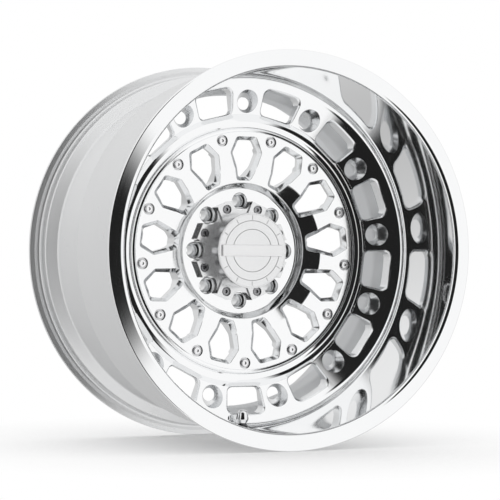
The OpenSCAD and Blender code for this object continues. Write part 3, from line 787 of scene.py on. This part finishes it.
# Copies a CAD node's mesh and eases its edges, so that they catch the light.
def easedCopy(name, node, width, body="wheel", facet=32):
    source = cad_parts[node]
    piece = source.copy()
    piece.data = source.data.copy()
    piece.name = name
    bpy.context.collection.objects.link(piece)
    pick(piece)
    bpy.ops.object.mode_set(mode="EDIT")
    bpy.ops.mesh.select_all(action="SELECT")
    bpy.ops.mesh.remove_doubles(threshold=1e-6)
    bpy.ops.mesh.dissolve_limited(angle_limit=math.radians(0.5))
    bpy.ops.object.mode_set(mode="OBJECT")
    runModifier(piece, "BEVEL", width=width * mm, segments=2, limit_method="ANGLE",
                angle_limit=math.radians(facet), use_clamp_overlap=True)
    smoothPiece(piece, facet)
    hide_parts(node)
    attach(piece, body)
    return piece


# Six-sided socket cutter on the axle, between two places along it.
def hexCutter(width, low, high):
    reach = width / math.sqrt(3)
    rings = [[(reach * mm * math.cos(a), y * mm, reach * math.sin(a) * mm)
              for a in np.linspace(0, 2 * math.pi, 6, endpoint=False)] for y in (low, high)]
    return loftRings("hexCutter", rings)


bolt = {
    "headR": 6.5, "headTop": 3.8, "seatY": 7.8, "headEase": 1.5, "shankR": 4, "endY": 39.8,
    "seatEase": 0.3, "endEase": 0.8, "socket": 5, "socketDepth": 2.6, "socketAbove": 3,
    "steps": 40,
}


def makeBolts():
    b = bolt
    piece, profile = spinProfile("discBolts", [
        [0, b["headTop"], 0], [b["headR"], b["headTop"], b["headEase"]],
        [b["headR"], b["seatY"], b["seatEase"]], [b["shankR"], b["seatY"], b["seatEase"]],
        [b["shankR"], b["endY"], b["endEase"]], [0, b["endY"], 0]], b["steps"], 15)
    useMaterials(piece, [boltSteel])
    socket = hexCutter(b["socket"], b["headTop"] - b["socketAbove"],
                       b["headTop"] + b["socketDepth"])
    cutWith(piece, socket, 0)
    piece.data.transform(Matrix.Translation((0, 0, disc["boltR"] * mm)))
    bolts = patternPiece(piece, betweenAngles)
    bolts.name = "discBolts"
    smoothPiece(bolts)
    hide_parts("disc_bolts")
    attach(bolts, "wheel")
    print("disc bolts made")
    return bolts


discBolts = makeBolts()

lid = {
    "faceY": -21.5, "backY": -15.5, "outerR": 63.7, "spigotR": 56.25, "spigotIn": 52.25,
    "spigotY": -8.5, "groove": 1.5, "grooveY": -12, "circleR": 50, "dishR": 35.5,
    "lineW": 0.8, "lineDepth": 0.7, "dishDepth": 0.5, "rimW": 2.6, "rimStep": 0.5,
    "tickIn": 52, "tickOut": 59.5, "barL": 112, "barH": 18.6, "barT": 5, "barSeat": -20.7,
    "barEase": 0.7, "barGap": 0.1, "tickAngle": 30, "barTicks": (3, 9), "above": 2, "steps": 144,
}


# A box cutter or block from its two corners in millimetres.
def boxPiece(name, low, high):
    deselectAll()
    bpy.ops.mesh.primitive_cube_add(size=1)
    piece = bpy.context.object
    piece.name = name
    bpy.ops.object.mode_set(mode="EDIT")
    size = (Vector(high) - Vector(low)) * mm
    bpy.ops.transform.resize(value=size)
    bpy.ops.transform.translate(value=(Vector(high) + Vector(low)) / 2 * mm)
    bpy.ops.object.mode_set(mode="OBJECT")
    return piece


def makeLid():
    l = lid
    face, line, rim = l["faceY"], l["lineW"], l["outerR"] - l["rimW"]
    corners = [
        [0, face + l["dishDepth"], 0],
        [l["dishR"] * 0.5, face + l["dishDepth"] * 0.8, 30],
        [l["dishR"], face + 0.1, 0.3],
        [l["dishR"] + 0.1, face + l["lineDepth"], 0],
        [l["dishR"] + line, face + l["lineDepth"], 0],
        [l["dishR"] + line, face, 0.15],
        [l["circleR"], face, 0.15],
        [l["circleR"], face + l["lineDepth"], 0],
        [l["circleR"] + line, face + l["lineDepth"], 0],
        [l["circleR"] + line, face, 0.15],
        [rim, face, 0.3],
        [rim + 0.5, face + l["rimStep"], 0.3],
        [l["outerR"], face + l["rimStep"], 1],
        [l["outerR"], l["backY"], 0.8],
        [l["spigotR"], l["backY"], 0.2],
        [l["spigotR"], l["grooveY"] - l["groove"], 0],
        [l["spigotR"] - l["groove"], l["grooveY"] - l["groove"], 0.5],
        [l["spigotR"] - l["groove"], l["grooveY"] + l["groove"], 0.5],
        [l["spigotR"], l["grooveY"] + l["groove"], 0],
        [l["spigotR"], l["spigotY"], 0.6],
        [l["spigotIn"], l["spigotY"], 0.6],
        [l["spigotIn"], l["backY"], 0.6],
        [0, l["backY"], 0],
    ]
    shell, profile = spinProfile("capLid", corners, l["steps"], 12)
    useMaterials(shell, [lidMetal, paintedGrooveShade])
    # Faces down in the grooves take the dark material, as painted shade in the grooves.
    for polygon in shell.data.polygons:
        middle = polygon.center / mm
        if face + l["lineDepth"] * 0.3 < middle.y < l["backY"] and middle.xz.length < rim - 1:
            deep = middle.xz.length > l["dishR"]
            polygon.material_index = 1 if deep else 0
    tick = boxPiece("tickCutter", (-line / 2, face - l["above"], l["tickIn"]),
                    (line / 2, face + l["lineDepth"] * 0.8, l["tickOut"]))
    # The bar covers two of the twelve radial lines.
    tickAngles = [i * l["tickAngle"] for i in range(12) if i not in l["barTicks"]]
    ticks = patternPiece(tick, tickAngles)
    gap = l["barGap"]
    slot = boxPiece("barCutter", (-l["barL"] / 2 - gap, face - l["above"], -l["barH"] / 2 - gap),
                    (l["barL"] / 2 + gap, l["barSeat"] + 0.02, l["barH"] / 2 + gap))
    # The walls of the ticks and of the bar's slot take the same painted shade.
    cutWith(shell, joinPieces([ticks, slot]), 1)
    shadeTurned(shell, profile, 1)
    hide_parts("cap_lid")
    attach(shell, "wheel")
    bar = boxPiece("capBar", (-l["barL"] / 2, l["barSeat"] - l["barT"], -l["barH"] / 2),
                   (l["barL"] / 2, l["barSeat"], l["barH"] / 2))
    useMaterials(bar, [barMetal])
    runModifier(bar, "BEVEL", width=l["barEase"] * mm, segments=3)
    smoothPiece(bar)
    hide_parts("cap_bar")
    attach(bar, "wheel")
    print("cap lid and bar made")
    return shell, bar


capLid, capBar = makeLid()

# The valve cap's profile runs along its own axis, from the lip-side seat.
valveCap = {
    "top": 29, "topR": 8.2, "topEase": 7, "wideR": 10.5, "wideTop": 15, "wideLow": 13,
    "neckR": 6.8, "neck": 6.5, "footR": 5.6, "foot": 5.5, "boreR": 4.25, "boreEnd": 27,
    "wideTopEase": 7, "wideLowEase": 4, "neckEase": 2, "footEase": 0.5, "boreEase": 0.2,
    "steps": 64,
}


def makeValveCap():
    c = valveCap
    piece, profile = spinProfile("valveCap", [
        [0, c["top"], 0], [c["topR"], c["top"], c["topEase"]],
        [c["wideR"], c["wideTop"], c["wideTopEase"]], [c["wideR"], c["wideLow"], c["wideLowEase"]],
        [c["neckR"], c["neck"], c["neckEase"]], [c["footR"], c["foot"], c["footEase"]],
        [c["boreR"], c["foot"], c["boreEase"]], [c["boreR"], c["boreEnd"], 0],
        [0, c["boreEnd"], 0]], c["steps"], 8)
    useMaterials(piece, [capChrome])
    piece.data.transform(Matrix.Rotation(math.radians(90), 4, "X"))
    piece.data.transform(Matrix.Translation(Vector((valve["x"], valve["y"], valve["seatZ"])) * mm))
    smoothPiece(piece)
    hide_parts("valve_cap")
    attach(piece, "valve_cap")
    return piece


capOverValve = makeValveCap()
print("valve cap made")

edgeWidths = {"capBase": 0.5, "capScrews": 0.4, "boltNuts": 0.4, "valveNut": 0.35}
easedCopy("capBase", "cap_base", edgeWidths["capBase"])
easedCopy("capScrews", "cap_screws", edgeWidths["capScrews"])
easedCopy("boltNuts", "disc_bolt_nuts", edgeWidths["boltNuts"])
easedCopy("valveNut", "valve_nut", edgeWidths["valveNut"])
print("small pieces eased")

studio = {
    "floorSize": 60.0,
    "floorColour": 0.985,
    "floorRough": 0.9,
    "shadowNear": 0.3,
    "shadowReach": 0.72,
    "darkSide": (-0.427, -0.904, 0.0),
    "darkFull": 0.801,
    "darkNone": 0.764,
    "darkSquash": 0.72,
    "darkLevel": 0.015,
    "backStart": -0.3,
    "backFull": 0.1,
    "backLow": 0.5,
    "backHigh": 1.0,
    "backLowest": -0.6,
    "backHighest": 0.95,
}


def makeFloor():
    deselectAll()
    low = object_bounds()[0][2]
    bpy.ops.mesh.primitive_plane_add(size=studio["floorSize"], location=(0, 0, low))
    floor = bpy.context.object
    floor.name = "studioFloor"
    bpy.ops.object.transform_apply(location=True, rotation=True, scale=True)
    shade = Shader("floorPaint")
    shade.surface.inputs["Base Color"].default_value = (*[studio["floorColour"]] * 3, 1)
    shade.surface.inputs["Roughness"].default_value = studio["floorRough"]
    shade.surface.inputs["Specular IOR Level"].default_value = 0
    # Away from the object the floor shows as plain white, like the backdrop.
    length = shade.add("ShaderNodeVectorMath", operation="LENGTH")
    shade.links.new(shade.coords, length.inputs[0])
    far = shade.add("ShaderNodeMapRange")
    shade.links.new(length.outputs["Value"], far.inputs["Value"])
    far.inputs["From Min"].default_value = studio["shadowNear"]
    far.inputs["From Max"].default_value = studio["shadowReach"]
    white = shade.add("ShaderNodeEmission")
    mix = shade.add("ShaderNodeMixShader")
    shade.links.new(far.outputs["Result"], mix.inputs["Fac"])
    shade.links.new(shade.surface.outputs[0], mix.inputs[1])
    shade.links.new(white.outputs[0], mix.inputs[2])
    shade.links.new(mix.outputs[0], shade.nodes["Material Output"].inputs["Surface"])
    floor.data.materials.append(shade.material)
    floor.visible_glossy = False


# White studio all round, with a dark side in front of the wheel that only reflections show.
def makeWorld():
    world = bpy.data.worlds.new("studioWorld")
    bpy.context.scene.world = world
    world.use_nodes = True
    nodes, links = world.node_tree.nodes, world.node_tree.links
    coords = nodes.new("ShaderNodeTexCoord")
    squash = nodes.new("ShaderNodeVectorMath")
    squash.operation = "MULTIPLY"
    squash.inputs[1].default_value = (1, 1, studio["darkSquash"])
    links.new(coords.outputs["Generated"], squash.inputs[0])
    unit = nodes.new("ShaderNodeVectorMath")
    unit.operation = "NORMALIZE"
    links.new(squash.outputs[0], unit.inputs[0])
    facing = nodes.new("ShaderNodeVectorMath")
    facing.operation = "DOT_PRODUCT"
    facing.inputs[1].default_value = studio["darkSide"]
    links.new(unit.outputs[0], facing.inputs[0])
    dark = nodes.new("ShaderNodeMapRange")
    dark.interpolation_type = "SMOOTHSTEP"
    links.new(facing.outputs["Value"], dark.inputs["Value"])
    dark.inputs["From Min"].default_value = studio["darkNone"]
    dark.inputs["From Max"].default_value = studio["darkFull"]
    dark.inputs["To Min"].default_value = 1
    dark.inputs["To Max"].default_value = studio["darkLevel"]
    # Behind the object the light fades downwards, which only reflections show as well.
    split = nodes.new("ShaderNodeSeparateXYZ")
    links.new(coords.outputs["Generated"], split.inputs[0])
    fade = nodes.new("ShaderNodeMapRange")
    links.new(split.outputs["Z"], fade.inputs["Value"])
    fade.inputs["From Min"].default_value = studio["backLowest"]
    fade.inputs["From Max"].default_value = studio["backHighest"]
    fade.inputs["To Min"].default_value = studio["backLow"]
    fade.inputs["To Max"].default_value = studio["backHigh"]
    behind = nodes.new("ShaderNodeMapRange")
    behind.interpolation_type = "SMOOTHSTEP"
    links.new(split.outputs["Y"], behind.inputs["Value"])
    behind.inputs["From Min"].default_value = studio["backStart"]
    behind.inputs["From Max"].default_value = studio["backFull"]
    ends = nodes.new("ShaderNodeMix")
    ends.data_type = "FLOAT"
    links.new(behind.outputs["Result"], ends.inputs["Factor"])
    links.new(dark.outputs["Result"], ends.inputs[2])
    links.new(fade.outputs["Result"], ends.inputs[3])
    path = nodes.new("ShaderNodeLightPath")
    level = nodes.new("ShaderNodeMix")
    level.data_type = "FLOAT"
    links.new(path.outputs["Is Glossy Ray"], level.inputs["Factor"])
    level.inputs[2].default_value = 1
    links.new(ends.outputs[0], level.inputs[3])
    background = nodes["Background"]
    background.inputs["Color"].default_value = (1, 1, 1, 1)
    links.new(level.outputs[0], background.inputs["Strength"])


makeFloor()
makeWorld()
print("studio made")

# Points of the photograph, in its own 500 x 500 frame: the object's edges, and the middle
# of features that show.
photoSize = 500
featurePoints = {
    "boltTop": (270.7, 142.0), "boltRight": (343.7, 265.0), "boltBottom": (245.3, 362.3),
    "boltLeft": (141.7, 262.7),
    "holeTop": (247.6, 103.2), "holeRight": (375.1, 234.4), "holeBottom": (277.0, 393.9),
    "lugTop": (239.1, 199.8), "lugRight": (272.4, 214.6), "lugBottom": (238.9, 301.9),
    "lugLeft": (206.8, 213.8),
    "barTopLeft": (222.6, 245.2), "barTopRight": (282.9, 245.2), "valveTop": (245.9, 409.1),
}


# A pixel's ray in the camera's axes.
def pixelRay(x, y):
    data = eye.data
    longSide = photoSize
    return Vector((x - photoSize / 2 + data.shift_x * longSide,
                   photoSize / 2 - y + data.shift_y * longSide,
                   -longSide * data.lens / data.sensor_width))


# The place on a surface that shows at a pixel. A miss takes the place nearest the ray.
def placeAt(tree, x, y):
    start = eye.matrix_world.translation
    along = (eye.matrix_world.to_3x3() @ pixelRay(x, y)).normalized()
    hit = tree.ray_cast(start, along)[0]
    if hit is None:
        hit = tree.find_nearest(start + along * start.length)[0]
    return hit


def clockPlace(angle, radius, y):
    turn = math.radians(angle)
    return Vector((radius * math.sin(turn), y, radius * math.cos(turn))) * mm


def treeOf(pieces):
    bm = bmesh.new()
    for piece in pieces:
        bm.from_mesh(piece.data)
    tree = BVHTree.FromBMesh(bm)
    bm.free()
    return tree


def writePoints():
    bpy.context.view_layer.update()
    tree = treeOf([rimBarrel, centreDisc, discBolts, capLid, capBar, capOverValve])
    face = bolt["headTop"]
    sinkY, lugY = 6, disc["padY"] + 3
    barY, barX, barZ = lid["barSeat"] - lid["barT"], lid["barL"] / 2, lid["barH"] / 2
    places = {
        "boltTop": clockPlace(betweenAngles[0], disc["boltR"], face),
        "boltRight": clockPlace(betweenAngles[3], disc["boltR"], face),
        "boltBottom": clockPlace(betweenAngles[6], disc["boltR"], face),
        "boltLeft": clockPlace(betweenAngles[9], disc["boltR"], face),
        "holeTop": clockPlace(windowAngles[0], barrel["sinkR"], sinkY),
        "holeRight": clockPlace(windowAngles[3], barrel["sinkR"], sinkY),
        "holeBottom": clockPlace(windowAngles[6], barrel["sinkR"], sinkY),
        "lugTop": clockPlace(lugAngles[0], disc["lugR"], lugY),
        "lugRight": clockPlace(lugAngles[1], disc["lugR"], lugY),
        "lugBottom": clockPlace(lugAngles[4], disc["lugR"], lugY),
        "lugLeft": clockPlace(lugAngles[7], disc["lugR"], lugY),
        "barTopLeft": Vector((-barX, barY, barZ)) * mm,
        "barTopRight": Vector((barX, barY, barZ)) * mm,
        "valveTop": Vector((valve["x"], valve["y"], valve["seatZ"] + valveCap["top"])) * mm,
    }
    for name, place in places.items():
        under = placeAt(tree, *featurePoints[name])


writePoints()

scene = bpy.context.scene
scene.view_settings.view_transform = "Standard"
